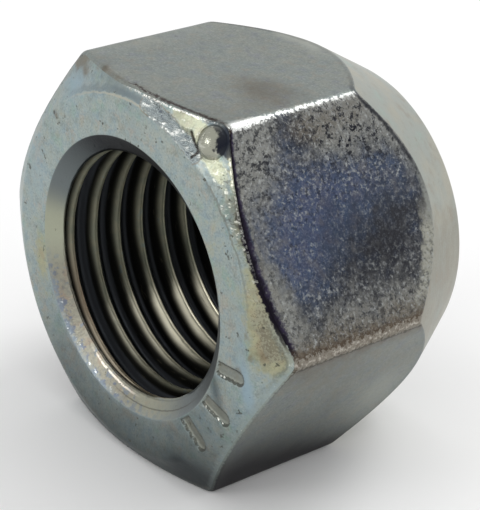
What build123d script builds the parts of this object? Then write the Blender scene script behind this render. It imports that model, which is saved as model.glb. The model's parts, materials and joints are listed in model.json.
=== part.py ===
import os
from math import cos, radians, sin, sqrt, tan

from build123d import *

# Open-ended lug nut, cold formed in one piece: a hexagon with a chamfered flat outer face
# at one end and a conical wheel seat at the other.
# The thread axis is Y, through the origin at the middle of the nut's length. The outer face
# looks along -Y, the seat along +Y, and the nut lies on the hexagon flat that faces -Z.

# Hexagon
across_flats = 17.0
length = 12.9  # outer face to the end of the seat
edge_radius = 0.6  # rounding along the six long edges

# Outer face and the chamfer that cuts the six corners
face_inset = 0.55  # from a hexagon flat in to the rim of the round outer face
chamfer_angle = 30.0  # rise of the chamfer from the plane of the outer face
face_rim_radius = 0.5

# Wheel seat
seat_angle = 60.0  # whole angle of the cone
seat_land = 0.55  # width of the flat ring at the end, outside the countersink
seat_rim_radius = 0.4

# Tapped hole, M12 x 1.25, drawn at its tap-drill diameter
thread_diameter = 12.0
thread_pitch = 1.25
countersink_margin = 0.2  # how far the countersink's mouth stands outside the thread
countersink_angle = 110.0
lip_radius = 0.25  # rounding where the countersink breaks out of the outer face

# Forging pip, a low dome on the chamfer at one corner
pip_diameter = 1.35
pip_height = 0.35
pip_corner = 60.0  # direction of the corner around the axis, from +X towards +Z
pip_inset = 0.87  # from the sharp corner in to the middle of the pip

# Worked out from the sizes above
corner_r = across_flats / sqrt(3)
face_r = across_flats / 2 - face_inset
face_y = -length / 2
end_y = length / 2
bore_r = (thread_diameter - thread_pitch) / 2
countersink_r = thread_diameter / 2 + countersink_margin
seat_end_r = countersink_r + seat_land
chamfer_depth = (corner_r - face_r) * tan(radians(chamfer_angle))
seat_depth = (corner_r - seat_end_r) / tan(radians(seat_angle / 2))

with BuildPart() as nut_body:
    # Hexagon bar, its flats square to Z and its corners on X
    with BuildSketch(Plane.XZ) as hexagon:
        RegularPolygon(radius=across_flats / 2, side_count=6, major_radius=False)
        fillet(hexagon.vertices(), radius=edge_radius)
    extrude(amount=length / 2, both=True)

    # Turned outline: outer face, chamfer, wheel seat and end land
    with BuildSketch(Plane.XY) as outline:
        with BuildLine():
            Polyline(
                (0, face_y),
                (face_r, face_y),
                (corner_r, face_y + chamfer_depth),
                (corner_r, end_y - seat_depth),
                (seat_end_r, end_y),
                (0, end_y),
                close=True,
            )
        make_face()
        face_rim = outline.vertices().group_by(Axis.Y)[0].sort_by(Axis.X)[-1]
        fillet(face_rim, radius=face_rim_radius)
        seat_rim = outline.vertices().group_by(Axis.Y)[-1].sort_by(Axis.X)[-1]
        fillet(seat_rim, radius=seat_rim_radius)
    revolve(axis=Axis.Y, mode=Mode.INTERSECT)

    # Pip: a ball sunk in the chamfer until only the dome stands out
    ball_r = (pip_diameter**2 / 4 + pip_height**2) / (2 * pip_height)
    sunk = ball_r - pip_height
    pip_r = corner_r - pip_inset
    pip_y = face_y + (pip_r - face_r) * tan(radians(chamfer_angle))
    ball_axis_r = pip_r - sunk * sin(radians(chamfer_angle))
    ball_x = ball_axis_r * cos(radians(pip_corner))
    ball_y = pip_y + sunk * cos(radians(chamfer_angle))
    ball_z = ball_axis_r * sin(radians(pip_corner))
    with Locations((ball_x, ball_y, ball_z)):
        Sphere(radius=ball_r)

    # Through hole, countersunk from both ends
    outer_face = Plane((0, face_y, 0), z_dir=(0, -1, 0))
    seat_end = Plane((0, end_y, 0), z_dir=(0, 1, 0))
    with Locations(outer_face, seat_end):
        CounterSinkHole(
            radius=bore_r,
            counter_sink_radius=countersink_r,
            counter_sink_angle=countersink_angle,
        )
    face = nut_body.faces().filter_by(GeomType.PLANE).sort_by(Axis.Y)[0]
    fillet(face.inner_wires()[0].edges(), radius=lip_radius)

nut_body.part.label = "nut_body"

os.makedirs("parts", exist_ok=True)
export_step(nut_body.part, "parts/nut_body.step")
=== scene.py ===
import json
import math

import bpy
import numpy as np
from mathutils import Matrix, Vector


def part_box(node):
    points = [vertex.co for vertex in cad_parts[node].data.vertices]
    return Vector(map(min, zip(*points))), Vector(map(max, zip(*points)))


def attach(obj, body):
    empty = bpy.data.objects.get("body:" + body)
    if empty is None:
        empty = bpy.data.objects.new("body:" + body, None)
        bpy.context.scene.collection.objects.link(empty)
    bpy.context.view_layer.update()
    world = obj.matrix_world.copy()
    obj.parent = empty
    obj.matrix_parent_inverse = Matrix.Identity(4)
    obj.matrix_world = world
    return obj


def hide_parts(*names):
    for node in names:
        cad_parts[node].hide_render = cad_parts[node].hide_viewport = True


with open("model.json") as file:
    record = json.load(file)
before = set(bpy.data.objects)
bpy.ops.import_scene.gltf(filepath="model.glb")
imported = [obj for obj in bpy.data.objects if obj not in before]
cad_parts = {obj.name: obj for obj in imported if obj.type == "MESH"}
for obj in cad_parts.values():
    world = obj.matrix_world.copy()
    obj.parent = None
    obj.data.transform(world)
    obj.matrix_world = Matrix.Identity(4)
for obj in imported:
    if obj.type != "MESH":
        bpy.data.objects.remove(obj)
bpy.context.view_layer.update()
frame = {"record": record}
cadLow, cadHigh = np.array(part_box("nut_body")) * 1000  # millimetres, as is all below
mounts = {m["name"]: m for m in frame["record"]["mounts"]}
mm = 0.001
inset = 0.0005  # keeps every surface just inside the solid it stands for
print("frame loaded: box", np.round(cadHigh - cadLow, 3), "mm")

# Forms of the nut. Lengths in mm, angles in degrees around the thread axis from +X towards +Z.
nut = {
    "apothem": cadHigh[2] - inset,  # half the width across flats
    "length": cadHigh[1] - cadLow[1] - 2 * inset,
    "cornerRadius": 0.6,
    "faceInset": 0.55,
    "chamferAngle": 30.0,
    "faceRimRadius": 0.5,
    # rounding where the chamfer meets a flat, by angle: crisp round the dark flat, soft elsewhere
    "chamferEdgeRadius": (
        (0, 0.17),
        (5, 0.11),
        (91, 0.11),
        (98, 0.3),
        (280, 0.3),
        (325, 0.2),
        (355, 0.17),
    ),
    "seatHalfAngle": 30.0,
    "seatEndRadius": 6.75,
    "seatRimRadius": 0.4,
    "seatEdgeRadius": 0.3,
    "mouthRadius": 6.2,
    "mouthHalfAngle": 55.0,
    "mouthDepth": 0.56,  # the thread's first groove opens behind this ring
    "mouthStep": 0.12,  # how far down the cones the outer rows run
    "lipRadius": 0.25,
    "backLipRadius": 0.12,
}

# Rows of points from the front mouth over the outside to the back mouth, and around the axis.
grid = {
    "edgeRows": (2, 15, 34, 34, 13, 3, 2),
    "arcRows": (0, 4, 4, 4, 3, 5, 3),
    "easedEdge": 3,  # the flats: rows crowd towards both ends
    "columns": 432,
    "boreRows": 190,
    "ringGap": 0.006,  # between the last row of a mouth's cone and the first of the thread
    "corner": (1.2, 2.2),  # extra density, half width in degrees
    "detailSide": (0.8, 33.0, 86.0),  # extra density, middle, half width
    "pipZone": (2.0, 63.0, 7.0),
}


def hexRadius(angle):
    # Distance from the axis to the hexagon: apothem / cos(angle from the flat's middle) along
    # a flat, and the far side of the corner's own circle where the ray passes through it.
    fromMiddle = np.abs(np.mod(angle, math.pi / 3) - math.pi / 6)
    fromCorner = math.pi / 6 - fromMiddle
    flat = nut["apothem"] / np.cos(fromMiddle)
    rho = nut["cornerRadius"]
    centre = (nut["apothem"] - rho) / math.cos(math.pi / 6)
    aside = centre * np.sin(fromCorner)
    arc = centre * np.cos(fromCorner) + np.sqrt(np.maximum(rho**2 - aside**2, 0))
    reach = math.atan2(rho * 0.5, centre + rho * math.cos(math.pi / 6))
    return np.where(fromCorner < reach, arc, flat)


def roundedProfile(corners, radii):
    # A chain of straight edges with an arc in each inner corner, for all angles at once.
    # An arc's centre lies on the corner's bisector at radius / sin(half the corner's angle), and
    # its points turn evenly from one tangent point to the other.
    corners = [np.stack(np.broadcast_arrays(r, y)) for r, y in corners]
    rows, start = [], corners[0]
    for i in range(1, len(corners)):
        last = i == len(corners) - 1
        arcStart = corners[i]
        if not last:
            back = corners[i - 1] - corners[i]
            ahead = corners[i + 1] - corners[i]
            back = back / np.linalg.norm(back, axis=0)
            ahead = ahead / np.linalg.norm(ahead, axis=0)
            half = np.arccos(np.clip((back * ahead).sum(0), -1, 1)) / 2
            bisector = (back + ahead) / np.linalg.norm(back + ahead, axis=0)
            centre = corners[i] + bisector * radii[i] / np.sin(half)
            arcStart = corners[i] + back * radii[i] / np.tan(half)
            arcEnd = corners[i] + ahead * radii[i] / np.tan(half)
        count = grid["edgeRows"][i - 1]
        share = np.arange(count) / count
        if i - 1 == grid["easedEdge"]:
            share = (1 - np.cos(math.pi * share)) / 2
        for t in share:
            rows.append(start * (1 - t) + arcStart * t)
        if last:
            rows.append(arcStart)
            break
        turn = math.pi - 2 * half
        for t in np.arange(grid["arcRows"][i]) / grid["arcRows"][i]:
            swing = np.sin((1 - t) * turn) * (arcStart - centre) + np.sin(t * turn) * (arcEnd - centre)
            rows.append(centre + swing / np.sin(turn))
        start = arcEnd
    return np.array(rows)  # rows, (r, y), angles


def aroundLine(pairs, degrees):
    # Value at an angle, on a line drawn through (angle, value) pairs right round the axis.
    angles, values = zip(*pairs)
    return np.interp(degrees, angles, values, period=360)


def smoothStep(x):
    x = np.clip(x, 0, 1)
    return x * x * (3 - 2 * x)


def latticeNoise(p, seed):
    # Smooth noise from -1 to 1: a hashed value at each corner of a unit lattice, blended in x, y, z.
    cell = np.floor(p).astype(np.int64)
    f = smoothStep(p - cell)
    total = 0
    for dx in (0, 1):
        for dy in (0, 1):
            for dz in (0, 1):
                n = (cell[..., 0] + dx) * 374761393 + (cell[..., 1] + dy) * 668265263
                n = n + (cell[..., 2] + dz) * 2147483647 + seed * 1274126177
                n = (n ^ (n >> 13)) * 1274126177
                n = ((n ^ (n >> 16)) & 0xFFFF) / 65535.0
                w = np.where(dx, f[..., 0], 1 - f[..., 0]) * np.where(dy, f[..., 1], 1 - f[..., 1])
                total = total + n * w * np.where(dz, f[..., 2], 1 - f[..., 2])
    return total * 2 - 1


def spreadAngles():
    # Angles packed where there is detail: the inverse of the running sum of a density.
    fine = np.linspace(0, 360, 7201)
    density = np.ones_like(fine)
    extra, halfWidth = grid["corner"]
    toCorner = np.abs(np.mod(fine + 30, 60) - 30)
    density += extra * np.exp(-((toCorner / halfWidth) ** 2))
    for extra, middle, halfWidth in (grid["detailSide"], grid["pipZone"]):
        gap = np.abs(np.mod(fine - middle + 180, 360) - 180)
        density += extra * np.exp(-((gap / halfWidth) ** 6))
    total = np.concatenate([[0], np.cumsum((density[1:] + density[:-1]) / 2)])
    wanted = np.arange(grid["columns"]) / grid["columns"] * total[-1]
    return np.radians(np.interp(wanted, total, fine))


thread = {
    "majorRadius": 6.0,
    "minorRadius": mounts["stud_thread"]["dims"]["r_mm"],
    "pitch": 1.25,
    "start": 1.605,  # depth of a crest below the outer face, at angle 0
    "rootFlat": 0.125,  # share of the pitch
    "crestSoftening": 0.36,
    "rootSoftening": 0.05,
}


def threadShape(fromCrest):
    # Flat crest, 60 degree flanks, narrow flat root: a clamped ramp with rounded ends, made as
    # the difference of two softened ramps.
    flank = (thread["majorRadius"] - thread["minorRadius"]) * math.tan(math.radians(30))
    rootStart = thread["pitch"] * (1 - thread["rootFlat"]) / 2
    rise = (fromCrest - (rootStart - flank)) / flank
    crestSoft, rootSoft = thread["crestSoftening"] / flank, thread["rootSoftening"] / flank
    low = (rise + np.sqrt(rise * rise + crestSoft**2)) / 2
    high = (rise - 1 + np.sqrt((rise - 1) ** 2 + rootSoft**2)) / 2
    return low - high


def threadRadius(angle, depth):
    # The phase runs with depth and with the angle, one turn for each pitch. The shape is scaled
    # so that crest and root lie at their true radii.
    phase = np.mod((depth - thread["start"]) / thread["pitch"] + angle / (2 * math.pi), 1)
    fromCrest = np.minimum(phase, 1 - phase) * thread["pitch"]
    crest, root = threadShape(0.0), threadShape(thread["pitch"] / 2)
    share = (threadShape(fromCrest) - crest) / (root - crest)
    return thread["minorRadius"] + (thread["majorRadius"] - thread["minorRadius"]) * share


def outerRows(angle):
    # The turned end forms meet the hexagon: both slopes start from the radius that the hexagon
    # has at this angle, so the edges run in arcs across the flats.
    h = hexRadius(angle)
    faceRadius = nut["apothem"] - nut["faceInset"]
    mouthSlope = math.tan(math.radians(nut["mouthHalfAngle"]))
    step = nut["mouthStep"]
    chamferY = (h - faceRadius) * math.tan(math.radians(nut["chamferAngle"]))
    seatY = nut["length"] - (h - nut["seatEndRadius"]) / math.tan(math.radians(nut["seatHalfAngle"]))
    mouth = nut["mouthRadius"]
    corners = [
        (mouth - step * mouthSlope, step + 0 * h),
        (mouth, 0 * h),
        (faceRadius, 0 * h),
        (h, chamferY),
        (h, seatY),
        (nut["seatEndRadius"], nut["length"] + 0 * h),
        (mouth, nut["length"] + 0 * h),
        (mouth - step * mouthSlope, nut["length"] - step + 0 * h),
    ]
    radii = [
        0,
        nut["lipRadius"],
        nut["faceRimRadius"],
        aroundLine(nut["chamferEdgeRadius"], np.degrees(angle)),
        nut["seatEdgeRadius"],
        nut["seatRimRadius"],
        nut["backLipRadius"],
    ]
    # zones: 0 mouth, 1 face, 2 chamfer, 3 flat, 4 seat, 5 end land, 6 back mouth, and the arcs
    # between them at .5
    zones = []
    for i, n in enumerate(grid["edgeRows"]):
        zones += [i] * n
        if i + 1 < len(grid["edgeRows"]):
            zones += [i + 0.5] * grid["arcRows"][i + 1]
    zones.append(len(grid["edgeRows"]))
    rows = roundedProfile(corners, radii)
    return rows[:, 0], rows[:, 1], np.array(zones), chamferY, seatY


def gridPoints(r, y, angle):
    return np.stack([r * np.cos(angle), y + 0 * r, r * np.sin(angle)], axis=-1)


def gridNormals(points):
    # Cross product of the central differences along the rows and around the axis.
    alongRows = np.gradient(points, axis=0)
    around = np.roll(points, -1, axis=1) - np.roll(points, 1, axis=1)
    n = np.cross(alongRows, around)
    return n / np.maximum(np.linalg.norm(n, axis=-1, keepdims=True), 1e-12)


def distanceToPath(points, path):
    # Shortest distance from each point to a chain of straight pieces.
    best = np.full(points.shape[:-1], 1e9)
    for a, b in zip(path[:-1], path[1:]):
        t = np.clip(((points - a) @ (b - a)) / ((b - a) @ (b - a)), 0, 1)
        best = np.minimum(best, np.linalg.norm(points - a - t[..., None] * (b - a), axis=-1))
    return best


def onChamfer(degrees, r):
    a = math.radians(degrees)
    faceRadius = nut["apothem"] - nut["faceInset"]
    y = max(r - faceRadius, 0) * math.tan(math.radians(nut["chamferAngle"]))
    return np.array([r * math.cos(a), y, r * math.sin(a)])


def ovals(u, v, spots):
    # Sum of soft ovals, each (u, v, half length, half width, tilt in degrees, amount), falling off
    # as exp(-distance squared), the distance counted in half lengths.
    total = np.zeros(np.broadcast(u, v).shape)
    for u0, v0, halfU, halfV, tilt, amount in spots:
        c, s = math.cos(math.radians(tilt)), math.sin(math.radians(tilt))
        a = ((u - u0) * c + (v - v0) * s) / halfU
        b = ((v - v0) * c - (u - u0) * s) / halfV
        total = total + amount * np.exp(-(a * a) - b * b)
    return total


# How each flat's finish varies. Every flat is named by its middle's angle and has a level all
# over, then ovals: distance from the outer face, distance around from the flat's middle, half
# length, half width, tilt, amount.
flatFinish = {
    "film": {  # dark handling film over the zinc
        30: (0.97, ((1.0, -2.6, 0.9, 1.8, 10, -0.3),)),
        90: (0.0, ((0.7, -3.4, 0.5, 1.6, 8, 0.12),)),
        150: (0.35, ((3.0, 1.0, 3.6, 3.0, 30, 0.45), (7.5, -2.5, 2.6, 2.6, 0, -0.3))),
        210: (0.2, ((3.5, 3.0, 4.0, 2.8, 0, 0.45),)),
        270: (0.45, ((5.0, 0.0, 4.0, 3.6, 15, 0.3),)),
        330: (0.0, ()),
    },
    "bare": {  # dull bare zinc showing through the film
        30: (
            0.0,
            (
                (6.4, 4.4, 5.4, 1.5, -3, 1.1),
                (6.5, 2.9, 2.6, 1.0, 0, 0.22),
                (1.0, 3.7, 1.6, 2.0, 0, 0.95),
                (1.05, -2.4, 0.8, 2.0, 10, 1.0),
                (3.9, 4.3, 0.9, 0.8, 0, -0.6),
                (6.2, -4.7, 7.0, 1.7, 3, 1.05),
                (9.8, 2.7, 1.0, 1.6, 0, 0.95),
                (1.4, 1.6, 1.1, 2.2, 0, 0.35),
                (3.5, 3.7, 1.3, 1.2, 0, -0.18),
            ),
        ),
        90: (0.3, ()),
        150: (0.1, ((6.5, -2.5, 3.0, 3.0, 0, 0.6), (1.5, -3.4, 2.6, 1.6, 0, 0.5))),
        210: (0.15, ((5.0, 2.0, 3.4, 2.4, 20, 0.4),)),
        270: (0.25, ((8.0, 2.0, 3.0, 2.0, 0, 0.3),)),
        330: (0.3, ()),
    },
    "blue": {
        30: (
            0.06,
            (
                (3.0, 0.6, 3.4, 2.5, 12, 0.75),
                (6.8, 1.6, 3.0, 1.4, 0, 0.4),
                (9.0, 0.8, 1.2, 2.0, 0, 0.15),
                (2.2, -1.9, 1.4, 1.5, 0, 0.35),
                (2.8, 3.8, 1.3, 0.9, 0, 0.3),
            ),
        ),
        90: (0.1, ((2.6, 1.0, 3.4, 5.0, 0, 0.4),)),
        150: (0.2, ((4.0, 1.5, 3.6, 2.6, 20, 0.6),)),
        210: (0.1, ((6.0, 0.0, 3.5, 3.0, 0, 0.3),)),
        270: (0.15, ()),
        330: (0.05, ((1.8, -1.0, 1.8, 2.0, 0, 0.25), (6.4, 2.6, 1.6, 1.0, 20, 0.4))),
    },
    "specks": {  # pale and dark speckle
        30: (
            0.48,
            (
                (6.4, 3.9, 4.6, 1.6, -3, 0.8),
                (7.0, 2.2, 2.4, 1.2, 0, 0.8),
                (2.5, 2.2, 3.0, 1.2, 0, 0.3),
                (1.5, 3.0, 2.2, 2.6, 0, 0.4),
                (5.4, -3.6, 6.0, 2.0, 5, 0.45),
                (6.5, -0.8, 3.0, 2.0, 5, -0.25),
            ),
        ),
        90: (0.03, ()),
        150: (0.5, ((6.5, -2.5, 3.0, 3.0, 0, 0.3),)),
        210: (0.3, ((5.0, 2.0, 4.0, 3.0, 20, 0.4),)),
        270: (0.5, ()),
        330: (0.05, ()),
    },
    "stain": {  # brown, as of old oil
        30: (
            0.0,
            (
                (5.6, -4.9, 6.5, 1.2, 3, 0.9),
                (2.4, -4.5, 1.8, 0.6, 0, 0.6),
                (6.2, 4.1, 2.4, 0.8, 0, 0.5),
                (4.4, 3.9, 0.8, 0.6, 0, 0.4),
            ),
        ),
        90: (
            0.0,
            (
                (4.6, -2.6, 1.2, 1.7, 10, 0.75),
                (3.6, -4.2, 2.0, 1.0, 0, 0.35),
                (1.2, -2.8, 0.9, 2.0, 8, 0.25),
                (1.0, 3.6, 0.5, 0.8, 0, 0.3),
                (0.7, 2.7, 0.2, 0.35, 0, 0.8),
                (0.55, 1.5, 0.18, 1.1, 0, 0.5),
            ),
        ),
        150: (0.1, ((2.0, -2.0, 2.0, 2.0, 0, 0.5),)),
        210: (0.15, ((6.5, 2.0, 1.8, 2.2, 0, 0.6),)),
        270: (0.2, ()),
        330: (
            0.12,
            (
                (1.6, 3.9, 2.0, 0.9, 0, 0.3),
                (5.0, 4.9, 6.0, 0.8, 0, 0.7),
                (4.0, 3.0, 2.2, 1.6, 0, 0.3),
                (5.2, 0.3, 0.6, 1.4, 10, 0.25),
                (8.0, 2.0, 2.5, 2.0, 0, 0.2),
            ),
        ),
    },
    "shade": {  # painted shade, darker towards the side the nut lies on, with some darker spots
        30: (
            0.0,
            (
                (6.4, -1.5, 2.8, 1.6, 5, 0.36),
                (0.75, 4.7, 0.3, 0.4, 0, 0.5),
                (4.9, 0.7, 0.9, 1.1, 0, 0.2),
                (2.0, -3.4, 0.8, 0.9, 0, 0.2),
            ),
        ),
        90: (0.0, ((2.6, -3.2, 3.0, 2.2, 0, 0.12), (0.9, -4.5, 0.4, 0.6, 0, 0.55))),
        150: (0.0, ()),
        210: (0.0, ((4.0, 5.0, 7.0, 3.4, 0, 0.7),)),
        270: (0.55, ()),
        330: (0.03, ((1.2, -5.2, 5.6, 4.5, 0, 1.0), (6.5, -6.2, 5.0, 2.2, 0, 1.0))),
    },
    "pale": {  # cleaner, lighter plate
        30: (0.0, ()),
        90: (0.0, ((10.0, 0.8, 0.9, 3.4, 0, 1.0), (5.0, 4.2, 6.0, 0.8, 0, 0.35))),
        150: (0.0, ((9.5, 0.0, 1.2, 3.0, 0, 0.6),)),
        210: (0.0, ()),
        270: (0.0, ()),
        330: (0.0, ((8.2, -0.6, 1.4, 2.2, 0, 0.6),)),
    },
}

# The same for the outer face and its chamfer, in x and z seen from the front.
frontFinish = {
    # painted shade, darker towards the lower side and in a few spots
    "shade": (
        (1.0, -11.0, 10.0, 5.0, 0, 1.0),
        (4.6, -7.9, 1.8, 1.8, -20, 0.4),
        (-5.0, -5.0, 3.2, 3.2, 0, 0.25),
        (5.5, -4.5, 2.5, 2.0, 0, 0.25),
        (6.35, 5.5, 1.8, 0.5, -54, 0.5),
        (4.95, 6.45, 1.1, 0.3, -50, 0.35),
        (5.45, 7.35, 0.35, 0.3, 0, 0.3),
        (-1.6, 8.2, 1.6, 0.3, 0, 0.25),
        (5.95, -2.2, 0.35, 1.3, 20, 0.5),
        (3.9, -7.3, 0.5, 0.5, 0, 0.25),
        (0.5, -8.9, 3.5, 0.5, 0, 0.3),
    ),
    "yellow": (  # thicker, yellower film
        (8.3, 2.2, 0.8, 1.9, 20, 1.0),
        (8.75, 0.5, 0.75, 1.2, 10, 1.0),
        (-6.35, -1.6, 0.5, 1.5, 10, 0.8),
        (5.6, 3.6, 0.8, 2.0, 30, 0.25),
        (6.9, 4.9, 0.35, 1.6, 35, 0.5),
    ),
    "rust": (
        (9.0, 0.5, 0.55, 0.5, 0, 0.6),
        (8.3, 1.2, 0.5, 0.5, 0, 0.4),
        (7.9, 2.2, 0.35, 0.35, 0, 0.4),
        (8.5, 0.1, 0.3, 0.5, 20, 0.7),
        (6.75, 5.2, 0.45, 1.5, 38, 0.4),
        (8.1, -0.2, 0.25, 0.2, 0, 0.6),
        (7.7, 0.9, 0.2, 0.3, 0, 0.5),
        (-4.7, 8.15, 0.9, 0.5, 0, 1.1),
        (-1.8, 8.4, 1.6, 0.14, 0, 0.6),
        (-8.8, 1.8, 0.8, 2.2, 28, 0.35),
        (-5.4, 5.6, 0.25, 0.25, 0, 0.8),
        (-3.9, 7.9, 0.3, 0.2, 0, 0.5),
        (7.5, -0.9, 0.35, 0.25, 0, 0.4),
        (4.6, -8.3, 1.0, 0.4, 0, 0.4),
    ),
    "cream": (  # smooth burnished metal
        (3.3, 8.1, 1.2, 0.33, -10, 1.1),
        (4.2, 7.95, 0.5, 0.25, -25, 0.7),
        (3.9, 7.75, 0.3, 0.3, 0, 0.8),
        (5.1, 6.9, 0.7, 0.34, -37, 1.0),
        (4.45, 7.1, 0.4, 0.2, 0, 0.5),
        (5.9, 6.0, 0.7, 0.2, -50, 0.4),
    ),
    "sky": (  # paler, bluer film
        (7.35, 0.6, 0.55, 3.0, 0, 0.35),
        (7.9, -1.6, 0.3, 1.3, 8, 1.0),
        (8.8, -0.9, 0.35, 0.9, 10, 0.5),
        (-4.4, 7.3, 1.3, 0.8, 22, 0.8),
        (-6.9, 2.6, 1.0, 2.6, 0, 0.4),
        (3.5, -7.3, 2.4, 0.6, 25, 0.2),
    ),
}

# What changes by angle around the axis, as (angle, value) pairs: mostly a strength from 0 to 1.
arcFinish = {
    "groove": (  # dark groove on a flat, just behind the chamfer; the dark is painted shade
        (1, 0.0),
        (3.5, 0.9),
        (8, 1.2),
        (40, 1.2),
        (50, 1.1),
        (58, 1.0),
        (61, 0.4),
        (65, 0.8),
        (75, 0.85),
        (92, 0.6),
        (104, 0),
    ),
    "grooveStart": (  # mm behind the chamfer's edge
        (0, 0.1),
        (3, 0.02),
        (8, -0.08),
        (14, -0.12),
        (40, -0.08),
        (59, -0.02),
        (63, 0.02),
        (95, 0.1),
    ),
    "grooveWidth": (  # mm
        (0, 0.12),
        (4, 0.28),
        (10, 0.42),
        (18, 0.46),
        (30, 0.38),
        (40, 0.3),
        (50, 0.2),
        (60, 0.14),
        (75, 0.22),
        (100, 0.2),
    ),
    # pale strip behind the groove
    "strip": ((2, 0.0), (6, 0.7), (30, 0.8), (42, 0.5), (52, 0.2), (58, 0.0)),
    "burr": (  # lumpy raised burr on the chamfer's edge
        (0, 0.3),
        (20, 0.6),
        (55, 1),
        (66, 1),
        (92, 1),
        (102, 0.25),
        (180, 0.15),
        (300, 0.1),
        (345, 0.3),
    ),
    "glint": (  # painted glints along the chamfer's broken edge
        (22, 0.0),
        (30, 0.2),
        (42, 0.3),
        (47, 0.6),
        (53, 0.8),
        (55, 0.0),
        (61, 0),
        (64, 0.9),
        (80, 1),
        (92, 0.7),
        (99, 0),
    ),
    # pale, softly rounded edge of the chamfer; the paleness is a painted highlight on the rounding
    "softEdge": ((300, 0.3), (325, 0.9), (356, 1), (4, 1), (9, 0.5), (13, 0)),
    # light and dark lines along the rim of the face, the light one a painted highlight on its rounding
    # and the dark one painted shade beyond it, and a bluish band outside them
    "faceRim": ((62, 0.0), (75, 0.8), (95, 1.3), (115, 0.8), (128, 0.0)),
    "bluish": ((72, 0.0), (82, 1.0), (98, 1.0), (107, 0.3), (115, 0.0)),
    # mottled stretch of the mouth, where it is rolled over
    "lip": ((183, 0.0), (200, 0.6), (215, 1.0), (258, 1.0), (272, 0.5), (290, 0.3), (325, 0.0)),
    # where the groove's painted shade runs over on to the chamfer
    "shadeOverEdge": ((2, 0.0), (5, 0.8), (10, 1.0), (34, 1.0), (44, 0.6), (50, 0.0)),
    # double line of a low ridge on the chamfer's edge
    "ridge": ((346, 0.0), (353, 0.5), (358, 1.0), (0, 1.0), (6, 0.8), (10, 0.3), (13, 0.0)),
    # painted glints at the foot of the mouth's cone, the painted highlight on the first crest behind
    # them, and the painted glints at the cone's rim
    "footGlint": ((237, 0.0), (245, 0.8), (262, 1.0), (270, 0.5), (275, 0.0)),
    "firstCrestHighlight": ((220, 0.0), (232, 0.6), (242, 1.0), (268, 1.0), (282, 0.6), (300, 0.0)),
    "rimGlint": ((208, 0.0), (218, 0.8), (248, 1.0), (262, 0.3), (272, 0.0)),
    # painted highlight on the crests over part of the bore, growing with depth
    "crestHighlight": ((205, 0.0), (218, 0.2), (228, 0.9), (248, 1.0), (262, 0.6), (275, 0.1)),
    # strength of the dark residue beside the pip, which also paints the shade on the pip's far side
    "residueAndShadeTone": ((53, 0.8), (57, 1.0), (60, 0.95), (61.5, 0.75), (64, 0.6), (66, 0.45)),
    # fine dark ring in the mouth's cone
    "ringLine": ((255, 0.0), (268, 0.9), (312, 1.0), (325, 0.0)),
    # dark line and brown grime beside the corner at angle 0
    "cornerLine": ((325, 0.0), (335, 0.8), (358, 0.9), (0.5, 0.0)),
    "cornerGrime": ((340, 0.0), (357, 0.7), (0, 1.0), (3, 0.8), (10, 0.0)),
    "coneShade": (  # the mouth's cone as painted shade, from nearly black at 0 to pale at 1
        (70, 0.1),
        (98, 0.0),
        (112, 0.02),
        (130, 0.28),
        (150, 0.5),
        (165, 0.75),
        (176, 1.0),
        (225, 1.0),
        (238, 0.8),
        (250, 0.85),
        (262, 1.0),
        (280, 0.95),
        (300, 0.75),
        (335, 0.35),
        (360, 0.35),
    ),
    "cornerWearAndHighlight": (  # corners worn bright, and at corner B a painted highlight
        (0, 0.0),
        (35, 0.0),
        (50, 0.8),
        (59, 1.0),
        (60.6, 0.8),
        (61.6, 0.15),
        (66, 0.0),
        (115, 0.0),
        (180, 0.4),
        (240, 0.2),
        (300, 0.0),
    ),
    # pale line on a flat just before the seat
    "seatThin": ((20, 0.0), (26, 0.9), (36, 0.8), (43, 0.0)),
    # scuffs on the chamfer and the dark line along the face's rim
    "scuff": ((14, 0.0), (24, 0.6), (38, 1.0), (52, 0.9), (57, 0.0)),
    "rimLine": ((6, 0.0), (18, 0.4), (36, 0.8), (52, 0.7), (57, 0.0)),
    # dark line and pale strip on a flat before the seat, and the seat's browner side
    "seatLine": ((32, 0.0), (42, 0.7), (57, 0.9), (63, 0.4), (70, 0.1), (150, 0.5), (180, 0.2)),
    "seatStrip": ((3, 0.0), (7, 0.8), (21, 1.0), (26, 0.4), (31, 0.0)),
    "seatTone": ((318, 0.2), (345, 0.5), (0, 0.7), (15, 0.7), (30, 0.2), (45, 0.0), (180, 0.2)),
}


def flatFields(points, angle, depth):
    # Blends the six flats' finishes by how near each flat's middle is, so that none ends in a
    # step at a corner.
    degrees = np.degrees(angle)
    sway = 0.25 * latticeNoise(points / 0.8, 11) + 0.1 * latticeNoise(points / 0.3, 12)
    fields = {}
    for name, flats in flatFinish.items():
        total = np.zeros(points.shape[:2])
        for middle, (level, spots) in flats.items():
            away = np.abs(np.mod(degrees - middle + 180, 360) - 180)
            weight = smoothStep((30 + 1.2 - away) / 2.4)
            turn = math.radians(middle)
            around = points[..., 2] * math.cos(turn) - points[..., 0] * math.sin(turn)
            total += weight * (level + ovals(depth + sway, around - sway, spots))
        fields[name] = total
    return fields


def frontFields(points):
    sway = 0.12 * latticeNoise(points / 0.8, 21) + 0.06 * latticeNoise(points / 0.3, 22)
    fields = {}
    for name, spots in frontFinish.items():
        fields[name] = ovals(points[..., 0] + sway, points[..., 2] - sway, spots)
    return fields


pip = {
    "angle": 60.0,
    "cornerInset": 0.87,
    "diameter": 1.35,
    "height": 0.35,
    "footRounding": 0.012,
    "moatWidth": 0.04,
    "moatDepth": 0.035,
}


def pipDirection():
    # Square to the chamfer at the pip's angle.
    slope, a = math.radians(nut["chamferAngle"]), math.radians(pip["angle"])
    return np.array([math.sin(slope) * math.cos(a), -math.cos(slope), math.sin(slope) * math.sin(a)])


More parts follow.
